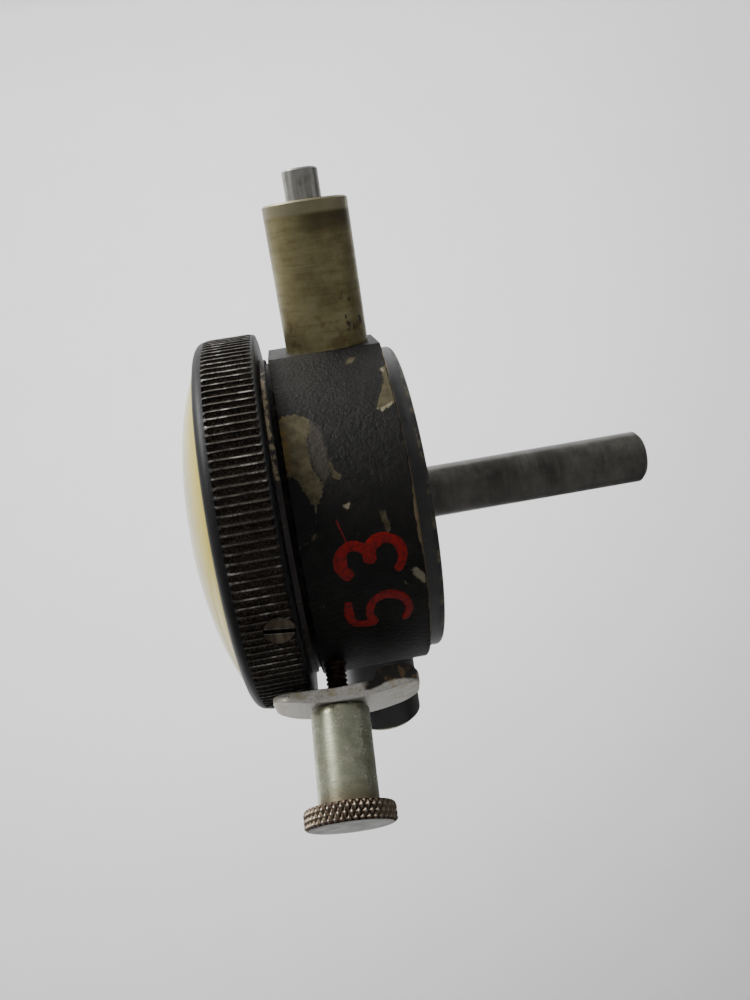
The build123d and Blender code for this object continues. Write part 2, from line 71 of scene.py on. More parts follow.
CASE_R, BEZEL_R, DIAL_R = (node_radius(node) for node in ("case", "bezel_ring", "dial_face"))
CAP_R, COVER_R, CRYSTAL_R = (node_radius(node) for node in ("dust_cap", "back_cover", "crystal"))
_, CASE_BACK = node_depths("case")
BEZEL_FRONT, BEZEL_BACK = node_depths("bezel_ring")
CRYSTAL_FRONT, _ = node_depths("crystal")
DIAL_FRONT, _ = node_depths("dial_face")
DIAL_Z = sum(corner.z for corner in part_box("crystal")) / 2 / MM     # height of the dial axis
CAP_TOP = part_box("dust_cap")[1].z / MM
screw_joint = next(joint for joint in frame["joints"] if joint["name"] == "thumb_screw_turn")
CLAMP_FOOT = Vector(screw_joint["pos_m"]) / MM
CLAMP_AXIS = Vector(screw_joint["axis"]).normalized()
CLAMP_SIDE = CLAMP_AXIS.cross(Vector((0, -1, 0))).normalized()
CLAMP_FORWARD = CLAMP_SIDE.cross(CLAMP_AXIS).normalized()

# ---- sizes shared with the CAD model, in mm ----
CASE_FRONT = 6.9
STEM_FLAT = 19.7                # dial axis to the flat that the stem stands on
PAD_HALF = 4.8                  # half the width of that flat
CRYSTAL_RISE = 4.3
CRYSTAL_THICK = 1.1
BEZEL_BORE = 18.7
KNURL_BACK, KNURL_FRONT, KNURL_DEPTH = 8.46, 13.85, 0.47
SMOOTH_R = BEZEL_R - 0.12        # the rim beside its knurled band
RIDGES = 150
RIDGE_STEPS = 14                # mesh columns to a ridge
SCREW_RING = 10.0               # how far forward the bezel screws lie
SCREW_TOP = BEZEL_R - 0.05
SCREW_POCKET = 1.65
SCREW_TURNS = (-8.5, 65, 130)   # how each bezel screw's slot is turned, degrees
BEZEL_SCREW_FROM_STEM = 101.9
SLOT_HALF = 0.25
THREAD_PITCH = 25.4 / 48
SHANK_R = 0.099 * 25.4 / 2
SHANK_LENGTH = 7.4
BARREL_R, BARREL_LENGTH = 3.2, 10.0
KNOB_R, KNOB_LENGTH = 4.825, 2.05
STRAP_NOSE, STRAP_HEEL, STRAP_HALF = 7.0, -9.0, 3.6
SPRING_WIRE = 0.15
FLOOR_Z = -400.0


# ---- shader writing ----
class Finish:
    """A material's node tree, with short ways of adding to it. Lengths are in millimetres."""

    def __init__(self, name):
        self.material = bpy.data.materials.new(name)
        self.material.use_nodes = True
        self.tree = self.material.node_tree
        self.shader = self.tree.nodes["Principled BSDF"]
        self.place = self.scale(self.node("TexCoord")["Object"], [1 / MM] * 3)

    def put(self, socket, value):
        if isinstance(value, bpy.types.NodeSocket):
            self.tree.links.new(value, socket)
        elif isinstance(value, (tuple, list)) and socket.type == "RGBA":
            socket.default_value = (*value, 1)
        else:
            socket.default_value = value

    def node(self, kind, inputs=(), **settings):
        """Adds a node, fills its inputs in order or by key, and returns its outputs."""
        made = self.tree.nodes.new("ShaderNode" + kind)
        for key, value in settings.items():
            setattr(made, key, value)
        for key, value in inputs.items() if isinstance(inputs, dict) else enumerate(inputs):
            self.put(made.inputs[key], value)
        return made.outputs

    def set(self, **values):
        """Sets or links the shader's own sockets: base_color=..., roughness=..."""
        for key, value in values.items():
            self.put(self.shader.inputs[key.replace("_", " ").title().replace("Ior", "IOR")], value)
        return self

    def math(self, operation, *values):
        return self.node("Math", values, operation=operation)[0]

    def chain(self, operation, values):
        total = values[0]
        for value in values[1:]:
            total = self.math(operation, total, value)
        return total

    def times(self, *values):
        return self.chain("MULTIPLY", values)

    def plus(self, *values):
        return self.chain("ADD", values)

    def minus(self, first, second):
        return self.math("SUBTRACT", first, second)

    def any(self, *masks):
        return self.chain("MAXIMUM", masks)

    def far(self, x, y):
        """Distance from an axis."""
        return self.math("SQRT", self.plus(self.times(x, x), self.times(y, y)))

    def step(self, value, low, high):
        """0 at low, 1 at high, smooth between; low may be above high."""
        return self.node("MapRange", (value, low, high), interpolation_type="SMOOTHSTEP")[0]

    def blend(self, share, first, second):
        """A number between two others."""
        return self.node("Mix", {0: share, 2: first, 3: second})[0]

    def mix(self, share, first, second):
        """A colour between two others."""
        return self.node("Mix", {0: share, 6: first, 7: second}, data_type="RGBA")[2]

    def stain(self, colour, other, *masks):
        """A colour stained with another where all the masks are up."""
        return self.mix(self.times(*masks), colour, other)

    def vector(self, x, y, z):
        return self.node("CombineXYZ", (x, y, z))[0]

    def scale(self, vector, factors):
        return self.node("VectorMath", (vector, factors), operation="MULTIPLY")[0]

    def noise(self, size, detail=3, rough=0.5, stretch=(1, 1, 1), where=None, warp=0):
        """Noise with lumps about size mm across, stretched by a factor along each axis."""
        where = self.scale(where or self.place, [1 / (size * s) for s in stretch])
        return self.node("TexNoise", {"Vector": where, "Scale": 1, "Detail": detail,
                                      "Roughness": rough, "Distortion": warp})["Fac"]

    def attribute(self, name):
        return self.node("Attribute", attribute_name=name)["Fac"]

    def bump(self, height, depth):
        return self.node("Bump", {"Strength": 1, "Distance": depth * MM, "Height": height})[0]

    def xyz(self):
        return self.node("SeparateXYZ", (self.place,))

    def dial_polar(self):
        """(forward, radius, degrees from the stem towards 9 o'clock) about the dial axis."""
        x, y, z = self.xyz()
        across, up = self.times(x, -1), self.minus(z, DIAL_Z)
        angle = self.times(self.math("ARCTAN2", across, self.times(up, -1)), 180 / pi)
        return self.times(y, -1), self.far(x, up), angle

    def rim_place(self):
        """The same as dial_polar, and lays the noise that follows along the rim."""
        forward, radius, angle = self.dial_polar()
        self.place = self.vector(forward, self.times(angle, pi / 180 * CASE_R), radius)
        return forward, radius, angle

    def clamp_place(self):
        """How far forward, sideways and outward of the thumb screw's foot."""
        away = self.node("VectorMath", (self.place, CLAMP_FOOT), operation="SUBTRACT")[0]
        return [self.node("VectorMath", (away, way), operation="DOT_PRODUCT")["Value"]
                for way in (CLAMP_FORWARD, CLAMP_SIDE, CLAMP_AXIS)]


# ---- mesh writing ----
def mesh_object(name, points, faces, smooth=True):
    """A mesh object from points in mm in the row frame."""
    data = bpy.data.meshes.new(name)
    data.from_pydata([tuple(c * MM for c in p) for p in points], [], faces)
    data.update()
    made = bmesh.new()
    made.from_mesh(data)
    bmesh.ops.remove_doubles(made, verts=made.verts, dist=1e-7)
    bmesh.ops.recalc_face_normals(made, faces=made.faces)
    made.to_mesh(data)
    made.free()
    data.polygons.foreach_set("use_smooth", [smooth] * len(data.polygons))
    piece = bpy.data.objects.new(name, data)
    bpy.context.scene.collection.objects.link(piece)
    return piece


def sharpen(piece, degrees):
    """Keeps edges over an angle crisp on a smooth mesh."""
    piece.data.set_sharp_from_angle(angle=radians(degrees))


def sheet_faces(rows, columns, wrap=True):
    """Faces of a grid of points, row after row, closed round each row if wrap is set."""
    faces = []
    for i in range(rows - 1):
        for j in range(columns if wrap else columns - 1):
            k = (j + 1) % columns
            faces.append((i * columns + j, i * columns + k,
                          (i + 1) * columns + k, (i + 1) * columns + j))
    return faces


def bar_faces(rows, columns, start=0):
    """Faces of a closed bar: a grid round its side and a cap at each end."""
    faces = sheet_faces(rows, columns)
    faces += [tuple(range(columns)), tuple((rows - 1) * columns + k for k in range(columns))]
    return [tuple(start + k for k in face) for face in faces]


def dial_point(radius, degrees_from_stem, forward):
    """A point in the row frame from its place about the dial axis."""
    a = radians(degrees_from_stem)
    return Vector((-radius * sin(a), -forward, DIAL_Z - radius * cos(a)))


def quarter_turn(steps):
    return [pi / 2 * k / steps for k in range(steps + 1)]


def smooth_step(value):
    value = min(max(value, 0.0), 1.0)
    return value * value * (3 - 2 * value)


def apply_cut(piece, cutters):
    """Cuts closed meshes out of a piece for good."""
    for cutter in cutters:
        cut = piece.modifiers.new("cut", "BOOLEAN")
        cut.operation = "DIFFERENCE"
        cut.solver = "EXACT"
        cut.object = cutter
    view = bpy.context.evaluated_depsgraph_get()
    final = bpy.data.meshes.new_from_object(piece.evaluated_get(view))
    piece.modifiers.clear()
    piece.data = final
    for cutter in cutters:
        bpy.data.objects.remove(cutter)


def dress(piece, finish, body=None):
    """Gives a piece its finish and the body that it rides."""
    piece.data.materials.clear()
    piece.data.materials.append(finish.material)
    if body:
        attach(piece, body)


# ---- finishes ----
def enamel(name="case_enamel", chips=True):
    """Old black enamel over brass: wrinkled, dusty, chipped and rubbed through at its edges, with a
    painted highlight along the edge of its smooth patch.
    """
    f = Finish(name)
    solid = f.place
    forward, radius, angle = f.rim_place()
    grain = f.noise(0.2, 4, 0.6)
    wrinkle = f.noise(0.45, 5, 0.6)
    broad = f.noise(5.0)
    dusty = f.step(f.noise(2.2, 5, 0.65), 0.45, 0.75)
    paint = f.mix(dusty, (0.0045, 0.0040, 0.0034), (0.0090, 0.0082, 0.0072))
    paint = f.stain(paint, (0.020, 0.018, 0.014), f.step(grain, 0.64, 0.8))
    bare, pale, worn_smooth, thin = (f.attribute(key) for key in ("bare", "pale", "smooth", "thin"))
    torn = f.plus(f.noise(0.9, 4, 0.7), f.noise(0.22, 4, 0.7))
    ragged = f.times(f.minus(torn, 1.0), 0.95)
    # closeness to the edge of the smooth patch, where a pale painted highlight is laid below
    smooth_edge_highlight = f.math("ABSOLUTE", f.minus(worn_smooth, 0.5))
    bare = f.step(f.plus(bare, ragged), 0.46, 0.54)
    pale = f.step(f.plus(pale, ragged), 0.45, 0.6)
    worn_smooth = f.step(worn_smooth, 0.35, 0.65)
    mottle = f.noise(1.3, 6, 0.72)
    metal = f.mix(f.step(mottle, 0.3, 0.72), (0.034, 0.029, 0.015), (0.085, 0.073, 0.042))
    metal = f.stain(metal, (0.105, 0.068, 0.020), f.step(forward, 5.7, 6.5), f.step(angle, 64, 54),
                    f.step(mottle, 0.3, 0.65))
    metal = f.mix(pale, metal, f.mix(mottle, (0.10, 0.09, 0.055), (0.24, 0.215, 0.15)))
    paint = f.mix(worn_smooth, paint, (0.0055, 0.005, 0.0055))
    # painted highlight: a pale tan along the edge of the smooth patch
    paint = f.stain(paint, (0.10, 0.088, 0.055), f.step(smooth_edge_highlight, 0.16, 0.04),
                    f.step(mottle, 0.46, 0.58), 0.8)
    paint = f.stain(paint, (0.036, 0.030, 0.022), f.step(f.plus(thin, ragged), 0.3, 0.9), 0.75)
    along = f.noise(1.4, 4, 0.6)
    wide = f.times(f.step(angle, 66, 76), f.step(angle, 92, 84))
    reach = f.plus(f.times(wide, 0.30), f.times(along, 0.42), -0.15)
    rear = f.step(f.minus(f.minus(forward, CASE_BACK), reach), 0.08, 0.0)
    rear = f.times(rear, f.step(radius, CASE_R - 0.6, CASE_R - 0.3))
    front = f.times(f.step(f.minus(CASE_FRONT, forward), 0.13, 0.02), f.step(along, 0.44, 0.58),
                    f.step(radius, CASE_R - 0.4, CASE_R - 0.2), 0.7)
    edges = f.any(rear, front)
    metal = f.mix(edges, metal, f.mix(along, (0.085, 0.060, 0.034), (0.20, 0.155, 0.092)))
    speck = f.times(f.step(f.noise(0.42, 2), 0.76, 0.79), 0.5)
    worn = f.any(bare, pale, edges, speck)
    if chips:
        chip = f.step(f.noise(2.4, 7, 0.74, where=solid), 0.625, 0.645)
        worn = f.any(worn, f.times(chip, f.step(radius, CASE_R - 1.5, CASE_R - 1.0)))
    skin = f.plus(f.times(wrinkle, 0.7), f.times(grain, 0.3))
    calm = f.minus(1.0, f.times(f.any(worn, worn_smooth), 0.8))
    height = f.minus(f.times(skin, calm), f.times(worn, 0.5))
    return f.set(
        base_color=f.mix(worn, paint, metal), metallic=f.times(worn, 0.35),
        roughness=f.blend(f.any(worn, worn_smooth), f.blend(broad, 0.42, 0.58), 0.5),
        specular_ior_level=0.14, normal=f.bump(height, 0.21))


def bezel_black():
    """Blackened knurled rim, rubbed to bare metal along the crests of its ridges."""
    f = Finish("bezel_black")
    forward, radius, angle = f.rim_place()
    patchy = f.noise(2.6, 4, 0.6)
    fine = f.noise(0.2, 4, 0.65)
    in_band = f.times(f.step(forward, KNURL_BACK - 0.1, KNURL_BACK + 0.1),
                      f.step(forward, KNURL_FRONT + 0.05, KNURL_FRONT - 0.1))
    lowered = f.plus(radius, f.times(f.minus(patchy, 0.5), 0.10))
    crest = f.times(f.step(lowered, BEZEL_R - 0.10, BEZEL_R - 0.02), in_band, f.step(fine, 0.34, 0.52))
    tips = f.times(f.step(forward, KNURL_FRONT - 0.85, KNURL_FRONT - 0.35),
                   f.step(radius, BEZEL_R - 0.2, BEZEL_R - 0.08), in_band,
                   f.step(fine, 0.42, 0.58), 0.7)
    groove = f.times(f.step(radius, BEZEL_R - 0.12, BEZEL_R - 0.3), in_band)
    smooth = f.mix(patchy, (0.006, 0.006, 0.0064), (0.011, 0.011, 0.0115))
    dirt = f.mix(f.step(fine, 0.45, 0.7), (0.018, 0.015, 0.012), (0.075, 0.060, 0.045))
    bare = f.mix(f.step(patchy, 0.52, 0.66), (0.09, 0.08, 0.066), (0.33, 0.315, 0.28))
    rubbed = f.any(crest, tips)
    return f.set(
        base_color=f.mix(rubbed, f.mix(groove, smooth, dirt), bare), metallic=f.times(rubbed, 0.8),
        specular_ior_level=0.11,
        roughness=f.blend(groove, f.blend(rubbed, f.blend(fine, 0.40, 0.55), 0.38), 0.6),
        normal=f.bump(fine, 0.02))


def cover_paint():
    """The back cover's black, rubbed along its round edge."""
    f = Finish("cover_black")
    forward, radius, _ = f.dial_polar()
    fine = f.noise(0.25, 4, 0.6)
    patchy = f.noise(1.8, 4, 0.6)
    edge = f.times(f.step(radius, COVER_R - 0.45, COVER_R - 0.25),
                   f.step(forward, CASE_BACK - 1.25, CASE_BACK - 1.45), f.step(patchy, 0.46, 0.62))
    paint = f.mix(f.step(patchy, 0.4, 0.7), (0.0062, 0.0058, 0.0052), (0.0135, 0.0120, 0.0105))
    scratch = f.any(f.step(f.noise(0.5, stretch=(30, 1, 1.2), warp=0.6), 0.70, 0.74),
                    f.step(f.noise(0.5, stretch=(1.2, 1, 22), warp=0.5), 0.71, 0.75))
    paint = f.stain(paint, (0.075, 0.065, 0.05), scratch, 0.5)
    worn = f.any(edge, f.times(f.step(f.noise(1.7, 6, 0.72), 0.68, 0.70), 0.8))
    return f.set(
        base_color=f.mix(worn, paint, (0.11, 0.092, 0.058)), metallic=f.times(worn, 0.5),
        roughness=f.blend(fine, 0.34, 0.52), normal=f.bump(fine, 0.03))


# light and dark tone, roughness and turning axis of blued spring wire
BLUED = ((0.16, 0.19, 0.30), (0.07, 0.08, 0.13), 0.3, "z")


def turned_metal(name, light, dark, rough, direction):
    """Turned or ground bar: fine marks across one direction, tarnish in patches."""
    f = Finish(name)
    fine, wide = ([share if axis == direction else 1 for axis in "xyz"] for share in (0.02, 0.12))
    rings = f.noise(6.0, 3, 0.6, stretch=fine)
    bands = f.noise(6.0, 3, 0.6, stretch=wide)
    patches = f.noise(2.5, 5, 0.62)
    tone = f.plus(f.times(bands, 0.5), f.times(patches, 0.5))
    colour = f.mix(f.step(tone, 0.38, 0.62), dark, light)
    colour = f.stain(colour, dark, f.step(rings, 0.55, 0.7), 0.35)
    return f.set(
        base_color=colour, metallic=1.0, normal=f.bump(rings, 0.006),
        roughness=f.blend(f.step(tone, 0.3, 0.7), min(rough + 0.12, 1), rough))


def stem_finish():
    """Nickel silver stem: olive tarnish, turning marks, a rubbed ring at its end, and painted shade on
    its +y side near the end.
    """
    f = Finish("stem_nickel_silver")
    _, y, z = f.xyz()
    rings = f.noise(6.0, 3, 0.62, stretch=(1, 1, 0.03))
    bands = f.noise(7.0, 4, 0.6, stretch=(1, 1, 0.16))
    patches = f.noise(4.0, 5, 0.62)
    mottled = f.noise(0.4, 4, 0.7)
    tone = f.plus(f.times(bands, 0.4), f.times(patches, 0.6))
    colour = f.mix(f.step(tone, 0.34, 0.64), (0.130, 0.109, 0.048), (0.23, 0.200, 0.102))
    colour = f.stain(colour, (0.26, 0.24, 0.16), f.step(mottled, 0.5, 0.7), 0.30)
    colour = f.stain(colour, (0.055, 0.044, 0.020), f.step(rings, 0.56, 0.70), 0.30)
    # painted shade: the stem darker on its +y side, a little way from its end
    painted_shade_side = f.step(f.plus(y, f.times(patches, 2.0)), -1.2, 1.6)
    colour = f.stain(colour, (0.030, 0.025, 0.014), f.step(z, 1.2, 1.75), f.step(z, 4.5, 2.0),
                     painted_shade_side, 0.7)
    wobble = f.times(f.minus(patches, 0.5), 0.5)
    colour = f.stain(colour, (0.25, 0.23, 0.16), f.step(f.plus(z, wobble), 1.6, 1.2), 0.55)
    colour = f.stain(colour, (0.022, 0.022, 0.028), f.step(f.noise(1.1), 0.60, 0.67),
                     f.step(z, 9.0, 11.0), f.step(y, 1.2, 2.4), 0.85)
    colour = f.stain(colour, (0.075, 0.040, 0.018), f.step(f.noise(1.8), 0.55, 0.66),
                     f.step(z, 11.0, 13.0), 0.45)
    marks = f.plus(f.times(rings, 0.7), f.times(mottled, 0.3))
    return f.set(
        base_color=colour, metallic=0.9, normal=f.bump(marks, 0.010),
        roughness=f.blend(f.step(tone, 0.3, 0.7), 0.42, 0.33))


def spindle_finish():
    """Hardened ground steel with lengthwise streaks."""
    f = Finish("spindle_steel")
    streaks = f.noise(0.7, 4, 0.6, stretch=(1, 1, 14))
    colour = f.mix(f.step(streaks, 0.30, 0.70), (0.19, 0.185, 0.17), (0.42, 0.415, 0.385))
    colour = f.stain(colour, (0.11, 0.095, 0.08), f.step(f.noise(1.2, 4, 0.6), 0.45, 0.7), 0.45)
    return f.set(
        base_color=colour, metallic=1.0, roughness=f.blend(streaks, 0.44, 0.30),
        normal=f.bump(streaks, 0.006))


def crystal_finish():
    """Aged celluloid window: yellowed, faintly crazed, still clear enough to read through."""
    f = Finish("crystal_yellowed")
    radius = f.dial_polar()[1]
    cloud = f.noise(9.0, 4, 0.55)
    colour = f.mix(f.step(cloud, 0.15, 0.85), (0.55, 0.46, 0.125), (0.68, 0.60, 0.215))
    haze = f.step(radius, 14.0, 20.0)
    colour = f.mix(haze, colour, (0.42, 0.35, 0.075))
    colour = f.stain(colour, (0.33, 0.26, 0.06), f.step(radius, 18.5, 20.6), 0.4)
    scratches = f.noise(0.35, 2, stretch=(14, 14, 1), warp=0.4)
    return f.set(
        base_color=colour, transmission_weight=f.blend(haze, 0.81, 0.20), ior=1.30,
        roughness=f.blend(cloud, 0.09, 0.15), specular_ior_level=0.12,
        normal=f.bump(scratches, 0.003))


def plated_finish():
    """Nickel plating on the clamp's strap: satin, yellow stains, rust and grime at its foot."""
    f = Finish("clamp_plating")
    length, _, depth = f.clamp_place()
    blotch = f.noise(1.1, 5, 0.65)
    fine = f.noise(0.18, 4, 0.7)
    ragged = f.times(f.minus(f.noise(1.0, 5, 0.62), 0.5), 1.6)
    colour = f.mix(f.step(fine, 0.3, 0.7), (0.35, 0.34, 0.31), (0.58, 0.56, 0.52))
    colour = f.stain(colour, (0.30, 0.25, 0.115), f.step(blotch, 0.42, 0.66),
                     f.step(depth, -0.35, -0.8), 0.65)
    run = f.plus(length, ragged)
    level = f.plus(depth, f.times(ragged, 0.35), f.times(f.step(length, -3.6, -6.0), 0.75))
    foot = f.times(f.step(run, -2.6, -3.4), f.step(run, -8.9, -8.4), f.step(level, -0.65, -0.95),
                   f.step(depth, -3.32, -3.2))
    rust = f.times(f.step(f.noise(0.9, 5, 0.65, warp=0.5), 0.52, 0.64), f.step(length, -4.3, -5.2))
    colour = f.mix(foot, colour, f.mix(rust, (0.012, 0.0095, 0.008), (0.125, 0.072, 0.026)))
    colour = f.stain(colour, (0.07, 0.045, 0.022), f.step(f.noise(0.3), 0.66, 0.72), 0.7)
    height = f.plus(fine, f.times(blotch, f.blend(foot, 0.6, 3.0)))
    return f.set(
        base_color=colour, metallic=f.blend(foot, 0.85, 0.05), roughness=f.blend(foot, 0.40, 0.75),
        normal=f.bump(height, 0.025))


def knurl_finish():
    """Brown oxide in the knurl's grooves, bright tips on its diamonds."""
    f = Finish("knob_knurl")
    forward, side, _ = f.clamp_place()
    patchy = f.noise(1.0, 4, 0.6)
    lift = f.plus(f.far(forward, side), f.times(f.minus(patchy, 0.5), 0.12))
    tips = f.step(lift, KNOB_R - 0.09, KNOB_R - 0.02)
    colour = f.mix(patchy, (0.085, 0.060, 0.040), (0.17, 0.135, 0.095))
    colour = f.stain(colour, (0.026, 0.016, 0.010), f.step(lift, KNOB_R - 0.16, KNOB_R - 0.32))
    colour = f.stain(colour, (0.24, 0.22, 0.185), tips, 0.7)
    return f.set(base_color=colour, metallic=0.85, roughness=f.blend(tips, 0.5, 0.32))


def barrel_finish():
    """Satin steel barrel: faint turned rings, olive tarnish in patches and a warm band by the knob."""
    f = Finish("barrel_steel")
    forward, side, out = f.clamp_place()
    f.place = f.vector(forward, side, out)
    rings = f.noise(4.0, 4, 0.65, stretch=(1, 1, 0.03))
    bands = f.noise(5.0, 3, 0.6, stretch=(1, 1, 0.35))
    blotch = f.noise(1.4, 6, 0.7)
    colour = f.mix(f.step(blotch, 0.25, 0.75), (0.20, 0.21, 0.145), (0.36, 0.365, 0.275))
    colour = f.stain(colour, (0.155, 0.15, 0.085), f.step(bands, 0.50, 0.66), 0.45)
    colour = f.stain(colour, (0.12, 0.12, 0.085), f.step(rings, 0.55, 0.70), 0.30)
    colour = f.stain(colour, (0.16, 0.12, 0.068), f.step(f.plus(out, blotch), 8.8, 10.4), 0.7)
    colour = f.stain(colour, (0.06, 0.055, 0.036), f.step(f.noise(0.35), 0.68, 0.74), 0.6)
    return f.set(
        base_color=colour, metallic=0.95, roughness=f.blend(f.step(blotch, 0.3, 0.7), 0.34, 0.25),
        normal=f.bump(f.plus(rings, f.times(blotch, 0.3)), 0.008))


def crown_finish():
    """The screw's end: dull grey steel with circular marks and small stains."""
    f = Finish("crown_steel")
    forward, side, _ = f.clamp_place()
    far = f.far(forward, side)
    marks = f.noise(0.25, 3, 0.6, where=f.vector(far, 0.0, 0.0))
    blotch = f.noise(1.5, 5, 0.65)
    colour = f.mix(f.step(blotch, 0.35, 0.7), (0.22, 0.22, 0.20), (0.40, 0.40, 0.38))
    colour = f.stain(colour, (0.14, 0.12, 0.085), f.step(far, KNOB_R - 1.1, KNOB_R - 0.5), 0.35)
    return f.set(
        base_color=colour, metallic=0.9, roughness=f.blend(blotch, 0.5, 0.4),
        normal=f.bump(f.plus(marks, f.times(blotch, 0.4)), 0.01))


def post_finish():
    """Oil-blackened steel post: fine turning marks, brown in places, a few bare nicks."""
    f = Finish("post_blackened")
    marks = f.noise(5.0, 3, 0.6, stretch=(1, 0.03, 1))
    bands = f.noise(7.0, stretch=(1, 0.3, 1))
    patches = f.noise(3.0, 5, 0.62)
    tone = f.plus(f.times(bands, 0.35), f.times(patches, 0.65))
    colour = f.mix(f.step(tone, 0.35, 0.65), (0.046, 0.044, 0.039), (0.094, 0.088, 0.078))
    colour = f.stain(colour, (0.022, 0.020, 0.018), f.step(marks, 0.55, 0.7), 0.4)
    colour = f.stain(colour, (0.22, 0.19, 0.14), f.step(f.noise(0.4), 0.72, 0.78), 0.6)
    return f.set(
        base_color=colour, metallic=0.8, roughness=f.blend(patches, 0.26, 0.36),
        normal=f.bump(marks, 0.006))


def cap_finish():
    """Glossy black dust cap, rubbed to brass round its top edge and scratched round its side."""
    f = Finish("cap_black")
    x, y, z = f.xyz()
    patchy = f.noise(1.6, 5, 0.65)
    rings = f.noise(2.0, 3, 0.6, stretch=(1, 1, 0.05))
    edge = f.times(f.step(z, CAP_TOP - 0.75, CAP_TOP - 0.45),
                   f.step(f.far(x, y), CAP_R - 0.6, CAP_R - 0.4), f.step(patchy, 0.44, 0.56))
    black = f.mix(f.step(patchy, 0.35, 0.7), (0.0035, 0.0035, 0.0035), (0.0085, 0.0080, 0.0072))
    colour = f.stain(black, (0.06, 0.05, 0.036), f.step(rings, 0.66, 0.72),
                     f.step(patchy, 0.48, 0.6), 0.4)
    return f.set(
        base_color=f.mix(edge, colour, (0.16, 0.125, 0.07)), metallic=f.times(edge, 0.6),
        roughness=f.blend(patchy, 0.30, 0.46), normal=f.bump(rings, 0.006))


def washer_finish():
    """The ring behind the bezel: bare, ragged brass near the stem and dark further round, with painted
    shade darkening its rear strip beside the case.
    """
    f = Finish("washer_brass")
    forward, radius, angle = f.rim_place()
    ragged = f.noise(0.7, 5, 0.65)
    # less brass shows on the rear strip beside the case: painted shade there
    reach = f.times(f.step(angle, 70, 52), f.step(angle, 8, 24),
                    f.blend(f.step(forward, 7.52, 7.72), 0.08, 0.19))
    bare = f.step(f.plus(ragged, reach), 0.60, 0.70)
    dark = f.mix(ragged, (0.012, 0.010, 0.009), (0.035, 0.026, 0.019))
    return f.set(
        base_color=f.mix(bare, dark, (0.25, 0.20, 0.125)), metallic=f.times(bare, 0.7),
        roughness=f.blend(bare, 0.6, 0.4), normal=f.bump(ragged, 0.04))


def simple_paint(name, colour, rough, grain=0.3, depth=0.01, second=None):
    """Plain paint or ink with a faint patchiness and grain."""
    f = Finish(name)
    fine = f.noise(grain, 4, 0.6)
    other = second or tuple(c * 1.8 + 0.004 for c in colour)
    return f.set(
        base_color=f.mix(f.step(f.noise(3.0, 4, 0.6), 0.4, 0.7), colour, other),
        roughness=f.blend(fine, rough, min(rough + 0.18, 1)), normal=f.bump(fine, depth))


# ---- pieces ----
def groove_depth(across, along_front, along_back):
    """How deep a knurl groove is, from its place across and its distance to the groove's ends."""
    near = min(along_front / 0.3, along_back / 0.22, 1.0)
    if near <= 0:
        return 0.0
    half_width = sqrt(1 - (1 - near) ** 2)
    share = abs(across) / (0.43 * half_width)
    if share >= 1:
        return 0.0
    return KNURL_DEPTH * half_width * (1 - share ** 2.4)


def knurled_radius(ridge, forward, lift, short):
    """The rim's radius in its knurled band, at a place round it counted in ridges."""
    k = int(ridge) % RIDGES
    ends = KNURL_FRONT - forward, forward - KNURL_BACK
    worn = lift[(k + (ridge % 1 > 0.5)) % RIDGES]
    worn += 0.05 * noise.noise(Vector((k * 1.7, forward * 0.9, 3.0)))
    level = SMOOTH_R + (min(BEZEL_R - worn, BEZEL_R) - SMOOTH_R) * smooth_step(min(ends) / 0.35)
    return level - groove_depth(ridge % 1 - 0.5, ends[0] - short[k][0], ends[1] - short[k][1])


def bezel():
    """The knurled rim: grooves with round ends between narrow, unevenly worn crests."""
    rng = random.Random(7)
    lift = [rng.uniform(0.0, 0.05) for _ in range(RIDGES)]
    short = [(rng.uniform(0.0, 0.14), rng.uniform(0.0, 0.10)) for _ in range(RIDGES)]
    back, front, seat = BEZEL_BACK, BEZEL_FRONT, CRYSTAL_R + 0.02
    bands, knurled = 26, None
    outline = [(SMOOTH_R - 0.40, back), (SMOOTH_R - 0.12, back + 0.08), (SMOOTH_R, back + 0.25)]
    outline += [(knurled, KNURL_BACK + (KNURL_FRONT - KNURL_BACK) * k / bands)
                for k in range(bands + 1)]
    outline += [(SMOOTH_R - 1.4 * (1 - cos(turn)), front - (front - KNURL_FRONT) * (1 - sin(turn)))
                for turn in quarter_turn(8)]
    outline += [(seat, front), (seat, front - 1.78), (DIAL_R + 0.02, front - 1.8),
                (DIAL_R + 0.02, front - 3.6), (BEZEL_BORE, front - 3.7), (BEZEL_BORE, back)]
    columns = RIDGES * RIDGE_STEPS
    points = []
    for r, forward in outline:
        for j in range(columns):
            radius = knurled_radius(j / RIDGE_STEPS, forward, lift, short) if r is knurled else r
            points.append(dial_point(radius, 360 * j / columns, forward))
    faces = sheet_faces(len(outline), columns)
    last = (len(outline) - 1) * columns
    faces += [(j, (j + 1) % columns, last + (j + 1) % columns, last + j) for j in range(columns)]
    ring = mesh_object("bezel_rim", points, faces)
    pockets = []
    for k in range(3):
        degrees = BEZEL_SCREW_FROM_STEM - 120 * k
        pockets.append(peg("cut", dial_point(BEZEL_R - 1.25, degrees, SCREW_RING),
                           dial_point(BEZEL_R + 1, degrees, SCREW_RING), SCREW_POCKET, 48))
    apply_cut(ring, pockets)
    sharpen(ring, 40)
    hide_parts("bezel_ring")
    dress(ring, bezel_black(), "bezel")
    screw_burrs()


